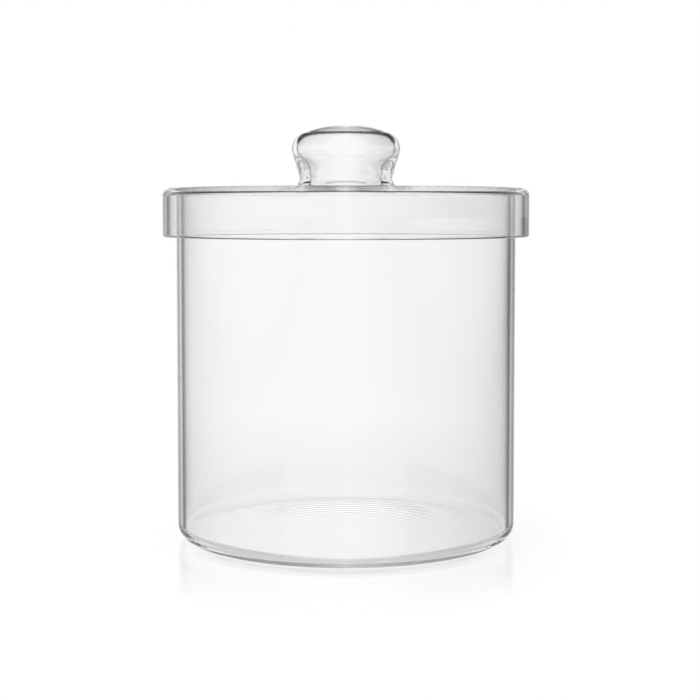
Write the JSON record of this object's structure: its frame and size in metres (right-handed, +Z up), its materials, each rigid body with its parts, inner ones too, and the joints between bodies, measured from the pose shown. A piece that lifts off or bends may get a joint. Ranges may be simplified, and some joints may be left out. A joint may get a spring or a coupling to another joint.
{
  "type": "lidded glass jar",
  "caption": "Clear glass cylinder jar with a flat base and a loose overlapping glass lid, lifted by a hollow blown knob; holds gas samples, specimens or dry stores.",
  "frame": {"origin": "centre of the jar's flat underside, on the jar's axis", "axes": "+Z up along the jar's axis, from the base to the lid's knob; X and Y in the plane the jar stands on, equal all round"},
  "size_m": [0.162, 0.162, 0.1828],
  "materials": {
    "clear_glass": "clear colourless borosilicate glass, blown in a mould and fire-polished, fully transparent"
  },
  "bodies": {
    "root": {"jar": "clear_glass", "lid": "clear_glass"}
  },
  "joints": []
}
